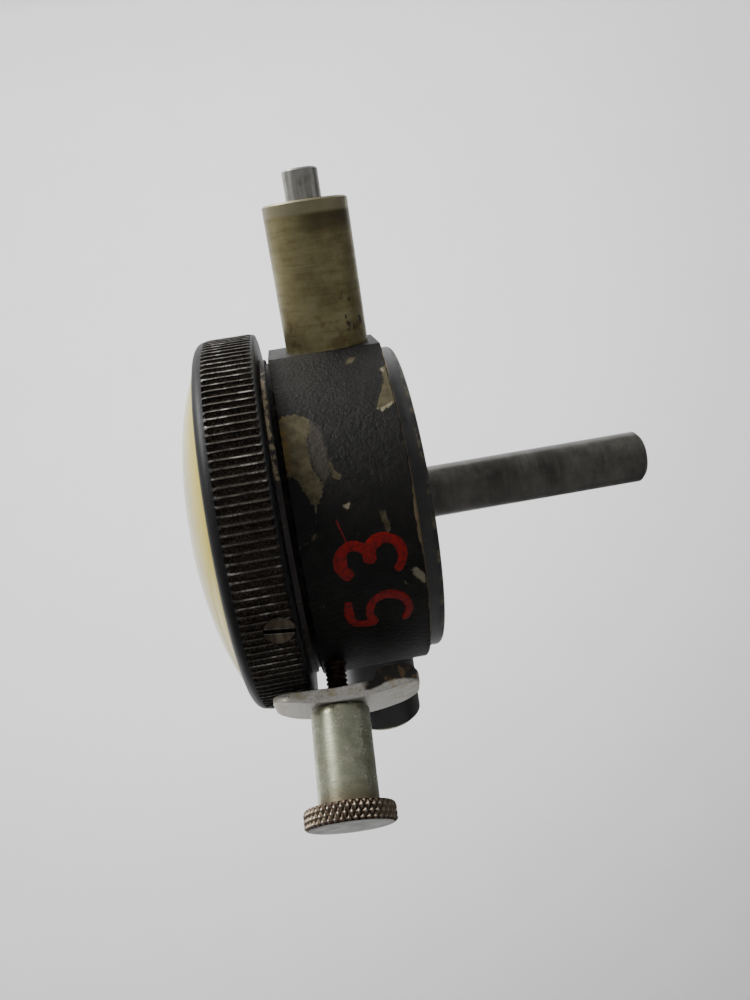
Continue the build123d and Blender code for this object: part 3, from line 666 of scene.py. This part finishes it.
def screw_burrs():
    """Bright burrs raised along both edges of the bezel screws' slots."""
    points, faces = [], []
    half_length, steps = 1.5, 16
    for k, turn in enumerate(SCREW_TURNS):
        degrees = BEZEL_SCREW_FROM_STEM - 120 * k
        centre = dial_point(SCREW_TOP, degrees, SCREW_RING)
        out = (dial_point(1, degrees, 0) - dial_point(0, degrees, 0)).normalized()
        ahead = Vector((0, -1, 0))
        along = cos(radians(turn)) * ahead + sin(radians(turn)) * out.cross(ahead)
        side = out.cross(along)
        for edge in (-1, 1):
            faces += bar_faces(steps + 1, 4, len(points))
            for i in range(steps + 1):
                place = half_length * (2 * i / steps - 1)
                middle = centre + along * place + side * edge * (SLOT_HALF + 0.05)
                thick = 0.035 + 0.02 * noise.noise(Vector((place * 2.1, edge + 3.0 * k, 0.3)))
                points += [middle + side * a * thick + out * b * thick * 1.2
                           for a, b in ((-1, 0), (1, 0), (1, 1), (-1, 1))]
    burrs = mesh_object("bezel_screw_burrs", points, faces)
    bright = turned_metal("burr_steel", (0.26, 0.24, 0.20), (0.12, 0.105, 0.085), 0.38, "y")
    dress(burrs, bright, "bezel")


def peg(name, start, end, radius, sides):
    """A closed round bar between two points."""
    direction = (end - start).normalized()
    helper = Vector((0, 1, 0)) if abs(direction.y) < 0.9 else Vector((1, 0, 0))
    first = direction.cross(helper).normalized()
    second = direction.cross(first).normalized()
    points = [centre + radius * (cos(2 * pi * k / sides) * first + sin(2 * pi * k / sides) * second)
              for centre in (start, end) for k in range(sides)]
    return mesh_object(name, points, bar_faces(2, sides))


def clamp_point(along, across, out):
    """A point from its place on the clamp: forward, sideways and outward of the screw's foot."""
    return CLAMP_FOOT + CLAMP_FORWARD * along + CLAMP_SIDE * across + CLAMP_AXIS * out


def surface_of_turning(name, rows, columns, shape):
    """A turned surface; shape(row, angle) gives (radius, height) along the screw."""
    points = []
    for i in range(rows):
        for j in range(columns):
            angle = 2 * pi * j / columns
            radius, out = shape(i, angle)
            points.append(clamp_point(radius * cos(angle), radius * sin(angle), out))
    return mesh_object(name, points, sheet_faces(rows, columns))


def thumb_screw():
    """The clamp's screw: threaded shank, plain barrel and knurled head."""
    rows = int(SHANK_LENGTH / THREAD_PITCH * 14)

    def thread(i, angle):
        run = SHANK_LENGTH * i / rows
        turn = ((run - SHANK_LENGTH) / THREAD_PITCH - angle / (2 * pi)) % 1
        tooth = (1 - abs(2 * turn - 1)) * smooth_step(run / 0.5)
        return (SHANK_R - 0.05 - 0.24 * (1 - tooth)) if i else 0.0, run - SHANK_LENGTH

    shank = surface_of_turning("clamp_screw_shank", rows + 1, 48, thread)
    foot = 0.03
    profile = [(0, foot), (BARREL_R - 0.25, foot), (BARREL_R - 0.08, foot + 0.06)]
    profile += [(BARREL_R, foot + 0.22 + (BARREL_LENGTH - 0.4) * k / 12) for k in range(13)]
    profile += [(BARREL_R, BARREL_LENGTH - 0.06), (BARREL_R + 0.12, BARREL_LENGTH)]
    barrel = surface_of_turning("clamp_screw_barrel", len(profile), 96, lambda i, a: profile[i])
    sharpen(shank, 40)
    sharpen(barrel, 40)
    dark = turned_metal("shank_steel", (0.12, 0.09, 0.06), (0.04, 0.03, 0.022), 0.45, "z")
    for piece, finish in ((shank, dark), (barrel, barrel_finish()), (knurled_head(), knurl_finish()),
                          (head_crown(), crown_finish())):
        dress(piece, finish, "thumb_screw")
    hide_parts("clamp_screw")


def return_spring():
    """The coil over the spindle, fixed in place between the ends of the spring's box in the model."""
    corner, far_corner = (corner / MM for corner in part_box("spindle_spring"))
    low, high = corner.z, far_corner.z
    mean = far_corner.x - SPRING_WIRE
    turns, per_turn, sides = 7, 36, 12
    clear = SPRING_WIRE + 0.14
    count = turns * per_turn
    points = []
    for i in range(count + 1):
        turn = 2 * pi * i / per_turn
        outward = Vector((cos(turn), sin(turn), 0))
        middle = mean * outward + Vector((0, 0, low + clear + (high - low - 2 * clear) * i / count))
        for j in range(sides):
            a = 2 * pi * j / sides
            points.append(middle + SPRING_WIRE * (cos(a) * outward + sin(a) * Vector((0, 0, 1))))
    coil = mesh_object("return_spring", points, bar_faces(count + 1, sides))
    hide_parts("spindle_spring")
    dress(coil, turned_metal("spring_wire", *BLUED))
    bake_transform(coil)


def knurled_head():
    """The rim of the thumb screw's head, cut in crossed spirals that leave small diamonds."""
    diamonds, rows = 42, 34
    slant = 1.65 * 2 * pi * KNOB_R / diamonds
    ends = {0: (BARREL_R, 0.0), 1: (KNOB_R - 0.45, 0.0), rows + 2: (KNOB_R - 0.40, KNOB_LENGTH - 0.03)}

    def shape(i, angle):
        if i in ends:
            return ends[i][0], BARREL_LENGTH + ends[i][1]
        share = (i - 2) / (rows - 1)
        up = 0.05 + (KNOB_LENGTH - 0.12) * share
        place = angle * diamonds / (2 * pi)
        crossed = (abs(((place + way * up / slant) % 1) * 2 - 1) for way in (1, -1))
        edge = smooth_step(share / 0.12) * smooth_step((1 - share) / 0.12)
        height = 0.02 + min(0.48 * min(crossed), 0.34)
        return KNOB_R - 0.36 + height * (0.35 + 0.65 * edge), BARREL_LENGTH + up

    return surface_of_turning("clamp_screw_knurl", rows + 3, diamonds * 8, shape)


def head_crown():
    """The head's slightly domed end."""
    top, radius, rings = BARREL_LENGTH + KNOB_LENGTH, KNOB_R - 0.5, 14
    profile = [(KNOB_R - 0.40, top - 0.03)]
    for share in (1 - k / rings for k in range(rings + 1)):
        profile.append((radius * share, top + 0.1 * (1 - share ** 2)))
    return surface_of_turning("clamp_screw_crown", len(profile), 96, lambda i, a: profile[i])


def strap_half_width(along):
    """Half width of the strap: a rectangle with round corners, by place along it."""
    corner = 2.3
    middle = (STRAP_NOSE + STRAP_HEEL) / 2
    into = abs(along - middle) - ((STRAP_NOSE - STRAP_HEEL) / 2 - corner)
    if into <= 0:
        return STRAP_HALF
    return STRAP_HALF - corner + sqrt(max(corner ** 2 - into ** 2, 0.0))


def underside(along):
    """The strap's lower face, straight between points set forward and outward."""
    line = [(-9.0, -2.6), (-7.9, -3.27), (-4.95, -3.08), (-4.4, -2.75), (-4.0, -1.8), (0.0, -1.5),
            (7.0, -1.6)]
    for (a, low), (b, high) in zip(line, line[1:]):
        if along <= b:
            return low + (high - low) * max(along - a, 0) / (b - a)
    return high


def rounded_section(width, high, low, corner):
    """Points round a rectangle with round corners, as (sideways, outward)."""
    half = [(width * k / 8, high) for k in range(-7, 8)]
    half += [(width - corner * (1 - sin(t)), high - corner * (1 - cos(t))) for t in quarter_turn(4)]
    half += [(width, high - corner + (low - high + 2 * corner) * k / 8) for k in range(1, 8)]
    half += [(width - corner * (1 - cos(t)), low + corner * (1 - sin(t))) for t in quarter_turn(4)]
    return half + [(-v, high + low - out) for v, out in half]


def strap():
    """The bowed strap with its bent-in foot, every edge a little rounded."""
    ends = [0.0, 0.03, 0.1, 0.2, 0.35, 0.55, 0.8, 1.1, 1.5, 2.0]
    places = [STRAP_HEEL + e for e in ends] + [STRAP_HEEL + 2.3 + k * 0.25 for k in range(46)]
    places += [STRAP_NOSE - e for e in reversed(ends)]
    points = []
    for along in places:
        bow = along * along / (54 if along < 0 else 52)
        pull = min(along - STRAP_HEEL, STRAP_NOSE - along, 0.14)
        soft = 0.14 - sqrt(max(0.14 ** 2 - (0.14 - pull) ** 2, 0.0))
        section = rounded_section(strap_half_width(along) - soft * 0.5, -bow - soft,
                                  underside(along) + soft, 0.12)
        points += [clamp_point(along, v, out) for v, out in section]
    plate = mesh_object("clamp_strap", points, bar_faces(len(places), len(section)))
    hole = peg("cut", clamp_point(0, 0, -4), clamp_point(0, 0, 1), SHANK_R + 0.09, 40)
    apply_cut(plate, [hole])
    sharpen(plate, 50)
    dress(plate, plated_finish(), "clamp")
    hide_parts("clamp_plate")


def window():
    """The domed crystal, finely meshed so that its highlight is smooth."""
    front = CRYSTAL_FRONT - CRYSTAL_RISE
    rings, columns = 48, 192
    inside = CRYSTAL_R - CRYSTAL_THICK

    def dome(radius, height):
        turns = [sin(pi / 2 * k / rings) for k in range(rings + 1)]
        return [(radius * t, front + height * (1 - t ** 2.3) ** 0.86) for t in turns]

    profile = dome(CRYSTAL_R, CRYSTAL_RISE) + [(CRYSTAL_R, front - 1.7), (inside, front - 1.7)]
    profile += reversed(dome(inside, CRYSTAL_RISE - CRYSTAL_THICK))
    points = [dial_point(r, 360 * j / columns, forward)
              for r, forward in profile for j in range(columns)]
    glass = mesh_object("crystal_window", points, sheet_faces(len(profile), columns))
    sharpen(glass, 50)
    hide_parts("crystal")
    dress(glass, crystal_finish(), "bezel")


def catmull(points, steps):
    """A smooth line through given points."""
    ends = [points[0]] + list(points) + [points[-1]]
    line = []
    for k in range(1, len(ends) - 2):
        a, b, c, d = (Vector(p) for p in ends[k - 1:k + 3])
        for i in range(steps):
            t = i / steps
            line.append(0.5 * ((2 * b) + (c - a) * t + (2 * a - 5 * b + 4 * c - d) * t * t
                               + (3 * b - a - 3 * c + d) * t ** 3))
    line.append(Vector(points[-1]))
    return line


# hand-painted strokes of the shop number, in units of its width and height
FIVE = [[(0.92, 0.98), (0.62, 1.0), (0.22, 0.97)], [(0.22, 0.97), (0.14, 0.76), (0.12, 0.56)],
        [(0.12, 0.56), (0.42, 0.66), (0.80, 0.58), (0.95, 0.34), (0.78, 0.08), (0.42, 0.0),
         (0.06, 0.1)]]
THREE = [[(0.06, 0.86), (0.34, 1.0), (0.74, 0.97), (0.90, 0.78), (0.72, 0.57), (0.36, 0.53)],
         [(0.36, 0.53), (0.78, 0.50), (0.98, 0.28), (0.80, 0.05), (0.40, 0.0), (0.04, 0.12)]]


def brushed(name, strokes, left, bottom, width, height, brush, seed):
    """Paint strokes laid on the case's rim: left in degrees, bottom forward, sizes in mm."""
    points, faces = [], []
    ribs = 9
    rng = random.Random(seed)
    for stroke in strokes:
        line = [Vector((p.x * width, p.y * height)) for p in catmull(stroke, 14)]
        faces += [tuple(len(points) + i for i in face)
                  for face in sheet_faces(len(line), ribs, wrap=False)]
        for k, middle in enumerate(line):
            run = (line[min(k + 1, len(line) - 1)] - line[max(k - 1, 0)]).normalized()
            side = Vector((-run.y, run.x))
            share = k / (len(line) - 1)
            swell = 0.82 + 0.30 * noise.noise(Vector((share * 4 + seed, seed * 3.1, 0.5)))
            swell += rng.uniform(-0.05, 0.05)
            end = min(share, 1 - share) * (len(line) - 1) / 4
            half = brush / 2 * swell * min(1.0, 0.55 + 0.45 * smooth_step(end))
            for j in range(ribs):
                s = -1 + 2 * j / (ribs - 1)
                rise = -0.03 if abs(s) == 1 else 0.015 + 0.05 * (1 - s ** 4)
                x, y = middle + side * half * s
                points.append(dial_point(CASE_R + rise, left - x / CASE_R * 180 / pi, bottom + y))
    return mesh_object(name, points, faces)


def red_paint():
    """Brushed red enamel, thin and dark in places."""
    f = Finish("red_paint")
    f.rim_place()
    thin = f.noise(0.5, 5, 0.65)
    colour = f.mix(f.step(thin, 0.35, 0.62), (0.085, 0.001, 0.0006), (0.20, 0.002, 0.001))
    colour = f.stain(colour, (0.03, 0.006, 0.005), f.step(f.noise(0.3, 4, 0.6), 0.70, 0.80))
    return f.set(
        base_color=colour, roughness=f.blend(thin, 0.32, 0.5), specular_ior_level=0.2,
        normal=f.bump(thin, 0.03))


def shop_number():
    """The number painted on the rim, with a thin run of paint beside it."""
    drip = [[(0.0, 0.0), (0.45, 0.42), (1.0, 1.0)]]
    paint = red_paint()
    for name, *place in (("shop_number_5", FIVE, 113.6, -3.4, 4.3, 6.3, 1.2, 3),
                         ("shop_number_3", THREE, 94.6, -3.4, 4.0, 6.3, 1.6, 4),
                         ("shop_number_drip", drip, 82.8, 2.0, 2.5, 0.65, 0.20, 9)):
        dress(brushed(name, *place), paint, "frame")


# worn places on the 9 o'clock side of the rim, as outlines of (mm forward, degrees from the stem)
WEAR = {
    "bare": [
        [(6.5, 40.5), (5, 40.5), (3.7, 43), (3.6, 46), (4.3, 52), (4, 60), (3.2, 65), (4.3, 70.8),
         (4.8, 69.5), (5.6, 63), (6.6, 60), (6.9, 54), (6.8, 44)],
        [(2.5, 57), (1.8, 61.3), (1.3, 63), (1.6, 64), (2.1, 63.5), (2.4, 59)],
        [(5.3, 78.3), (4.9, 79.5), (5.2, 80.6)],
        [(-4.5, 26.6), (-5.5, 25.2), (-5.7, 34), (-5.7, 41.4), (-4.4, 44.4), (-3.5, 43.5), (-4.0, 39),
         (-4.9, 32.5), (-5.0, 28.4)],
        [(-1.7, 18.2), (-2.6, 19), (-2.1, 21.6), (-1.3, 22.2), (-1.6, 20)],
        [(-0.5, 30.6), (-0.9, 31), (-0.6, 32.2)],
        [(-1.9, 75.2), (-2.4, 75.4), (-2.7, 81.3), (-2.2, 82), (-1.9, 78)],
        [(5.8, 102), (5.3, 102), (5.5, 102.6)]],
    "pale": [
        [(-3.5, 43.5), (-4.4, 42.6), (-5.6, 41), (-4.8, 43.2), (-4.0, 44.6)],
        [(-4.5, 26.6), (-5.5, 25.2), (-5.1, 28.5)],
        [(1.7, 71.6), (1.0, 71.3), (1.3, 73.2)],
        [(-4.0, 94.8), (-4.7, 93.5), (-5.6, 98), (-5.3, 100.5), (-4.5, 97.5)],
        [(-3.0, 97.4), (-3.8, 100.6), (-3.3, 99)]],
    "smooth": [
        [(7.0, 60.5), (5.8, 62), (4.4, 71), (4.9, 79), (5.7, 80.5), (6.7, 82.4), (7.0, 70)]],
    "thin": [
        [(3.6, 43), (2.7, 46), (2.1, 61), (3.2, 65), (4.1, 58), (4.2, 50)]]}


def signed_distance(point, outline):
    """Distance to a closed outline, above zero inside it."""
    nearest, inside = 1e9, False
    x, y = point
    for (ax, ay), (bx, by) in zip(outline, outline[1:] + outline[:1]):
        dx, dy = bx - ax, by - ay
        t = min(max(((x - ax) * dx + (y - ay) * dy) / (dx * dx + dy * dy), 0), 1)
        nearest = min(nearest, (x - ax - t * dx) ** 2 + (y - ay - t * dy) ** 2)
        if (ay > y) != (by > y) and x < ax + (y - ay) / dy * dx:
            inside = not inside
    return sqrt(nearest) if inside else -sqrt(nearest)


def rim_radius(degrees):
    """The case's outline near the stem, where its round runs into the stem's flat."""
    corner = atan2(PAD_HALF, STEM_FLAT) * 180 / pi
    touch = corner + acos(CASE_R / hypot(PAD_HALF, STEM_FLAT)) * 180 / pi
    if degrees >= touch:
        return CASE_R
    return CASE_R / cos(radians(touch - max(degrees, corner)))


def rim_skin():
    """A thin skin of enamel over the case's 9 o'clock side that carries its worn places."""
    first, last, step, rows = 14.5, 124.0, 0.6, 62
    columns = int((last - first) / step) + 1
    low, high = CASE_BACK + 0.22, CASE_FRONT - 0.22
    arc = pi / 180 * CASE_R
    soft, reach = 0.8, 0.6
    places = [(low + (high - low) * i / rows, first + step * j)
              for i in range(rows + 1) for j in range(columns)]
    points = [dial_point(rim_radius(a) + 0.006, a, forward) for forward, a in places]
    skin = mesh_object("case_enamel_skin", points, sheet_faces(rows + 1, columns, wrap=False))
    for key, outlines in WEAR.items():
        values = [0.0] * len(places)
        for outline in outlines:
            shape = [(forward, a * arc) for forward, a in outline]
            (left, right), (start, end) = ((min(side) - reach, max(side) + reach)
                                           for side in zip(*shape))
            for i, (forward, a) in enumerate(places):
                if left < forward < right and start < a * arc < end:
                    near = signed_distance((forward, a * arc), shape)
                    values[i] = max(values[i], min(max(0.5 + near / soft, 0), 1))
        skin.data.attributes.new(key, "FLOAT", "POINT").data.foreach_set("value", values)
    dress(skin, enamel("case_enamel_worn", chips=False), "frame")


def dial_marks():
    """Hundred divisions, longer at fives and tens, and the tens figures."""
    ink = simple_paint("dial_ink", (0.012, 0.012, 0.012), 0.5, 0.2, 0.002)
    level = DIAL_FRONT + 0.02
    outer, figure_ring = 18.6, 13.9
    points, faces = [], []
    for k in range(100):
        length = 2.6 if k % 10 == 0 else 2.0 if k % 5 == 0 else 1.3
        half = 0.12 if k % 10 == 0 else 0.07
        start = len(points)
        for r in (outer - length, outer):
            for s in (-half, half):
                points.append(dial_point(r, 180 + 3.6 * k + s / r * 180 / pi, level))
        faces.append((start, start + 1, start + 3, start + 2))
    marks = mesh_object("dial_divisions", points, faces, smooth=False)
    dress(marks, ink, "bezel")
    for k in range(10):
        curve = bpy.data.curves.new(f"dial_figure_{k}", "FONT")
        curve.body = str(10 * k)
        curve.size = 3.4 * MM
        curve.align_x = curve.align_y = "CENTER"
        figure = bpy.data.objects.new(f"dial_figure_{k}", curve)
        bpy.context.scene.collection.objects.link(figure)
        figure.location = dial_point(figure_ring, 180 + 36 * k, level) * MM
        figure.rotation_euler = (pi / 2, 0, 0)
        dress(figure, ink, "bezel")


# ---- CAD pieces and their finishes ----
def finish_nodes():
    """Finishes for the CAD pieces that are shown as they are."""
    brass = turned_metal("movement_brass", (0.62, 0.47, 0.20), (0.38, 0.27, 0.10), 0.32, "y")
    steel = turned_metal("movement_steel", (0.50, 0.50, 0.50), (0.30, 0.30, 0.30), 0.3, "y")
    screw = turned_metal("screw_brown", (0.105, 0.085, 0.064), (0.046, 0.035, 0.026), 0.40, "y")
    finishes = {
        "case": enamel(), "back_cover": cover_paint(), "stem": stem_finish(),
        "spindle": spindle_finish(), "rear_post": post_finish(), "dust_cap": cap_finish(),
        "bezel_screws": screw, "back_cover_screws": screw, "bezel_washer": washer_finish(),
        "dial_face": simple_paint("dial_enamel", (0.78, 0.74, 0.62), 0.5, second=(0.70, 0.64, 0.48)),
        "hand": simple_paint("hand_ink", (0.01, 0.01, 0.011), 0.35),
        "hairspring": turned_metal("spring_blue", *BLUED)}
    for node in ("lower_bushing", "upper_bushing", "spring_collar", "main_gear", "takeup_gear",
                 "hairspring_stud", "movement_plate", "rear_bridge", "pillars", "centre_cock"):
        finishes[node] = brass
    for node in ("guide_pin", "rack_pinion_arbor", "centre_arbor", "takeup_arbor", "bridge_screws",
                 "movement_screws", "post_nut"):
        finishes[node] = steel
    for node, finish in finishes.items():
        piece = frame["nodes"][node]
        if not piece.material_slots:
            piece.data.materials.append(finish.material)
        for slot in piece.material_slots:
            slot.material = finish.material


# ---- stage, camera and light ----
def stage():
    """A pale paper room, flat at the bottom and round above."""
    paper = Finish("studio_paper")
    paper.set(base_color=paper.mix(paper.noise(60.0), (0.62, 0.62, 0.625), (0.65, 0.65, 0.65)),
              roughness=0.9)
    far, columns, rows = 1500.0, 64, 24
    points = []
    for i in range(rows + 1):
        rise = -pi / 2 + pi * i / rows
        across, z = far * cos(rise), max(far * sin(rise), FLOOR_Z)
        for j in range(columns):
            a = 2 * pi * j / columns
            points.append((across * cos(a), across * sin(a), z))
    dome = mesh_object("studio_room", points, sheet_faces(rows + 1, columns))
    dress(dome, paper)


def camera():
    """Where the photographer stood: by the 9 o'clock side, the stem up in the picture."""
    right = Vector((-0.1147, 0.9832, 0.1419))
    up = Vector((0.2903, 0.1698, -0.9418))
    back = right.cross(up).normalized()
    up = back.cross(right).normalized()
    right.normalize()
    turn = Matrix((right, up, back)).transposed().to_4x4()
    place = Vector((-96.34, -3.94, DIAL_Z - 31.09)) * MM
    data = bpy.data.cameras.new("camera")
    data.lens = 29.546
    data.clip_start = 0.005
    view = bpy.data.objects.new("camera", data)
    view.matrix_world = Matrix.Translation(place) @ turn
    bpy.context.scene.collection.objects.link(view)
    bpy.context.scene.camera = view
    return right, up, back


def soft_light(name, place, target, size, watts):
    data = bpy.data.lights.new(name, "AREA")
    data.shape = "DISK"
    data.size = size
    data.energy = watts
    lamp = bpy.data.objects.new(name, data)
    lamp.location = place
    lamp.rotation_euler = (place - target).to_track_quat("Z", "Y").to_euler()
    lamp.visible_camera = False
    bpy.context.scene.collection.objects.link(lamp)


def flag(place, target, half):
    """A grey card that keeps the room's light off one side of the object; the camera doesn't see it."""
    away = (place - target).normalized()
    across = away.orthogonal().normalized()
    along = away.cross(across)
    corners = [place + half * (a * across + b * along) for a, b in ((-1, -1), (1, -1), (1, 1), (-1, 1))]
    card = mesh_object("studio_flag", [corner / MM for corner in corners], [(0, 1, 2, 3)], smooth=False)
    dress(card, Finish("studio_grey").set(base_color=(0.10, 0.10, 0.10), roughness=0.9))
    card.visible_camera = False


def lights(right, up, back):
    """A near window over the object, two weak fills, and a lamp behind for the backdrop, in metres."""
    centre = Vector((0, 0, DIAL_Z)) * MM
    key = (-1.0 * right + 0.85 * up + 0.30 * back).normalized()
    soft_light("window", centre + 0.42 * key, centre, 0.22, 5.0)
    soft_light("fill", centre + 0.9 * Vector((0.5, -0.9, 0.9)).normalized(), centre, 0.8, 2.2)
    soft_light("rim", centre + 0.9 * Vector((0.5, 0.9, 0.4)).normalized(), centre, 0.8, 1.6)
    flag(centre + 0.20 * (0.85 * right - 0.50 * back - 0.15 * up), centre, 0.17)
    behind = centre - 0.35 * back
    soft_light("backdrop", behind, behind - 1.0 * back - 0.5 * right + 0.45 * up, 0.5, 25.0)
    world = bpy.data.worlds.new("studio_air")
    bpy.context.scene.world = world
    world.use_nodes = True
    air = world.node_tree.nodes["Background"]
    air.inputs["Color"].default_value = (1, 1, 1, 1)
    air.inputs["Strength"].default_value = 0.9


finish_nodes()
rim_skin()
bezel()
window()
thumb_screw()
strap()
return_spring()
shop_number()
dial_marks()
stage()
lights(*camera())
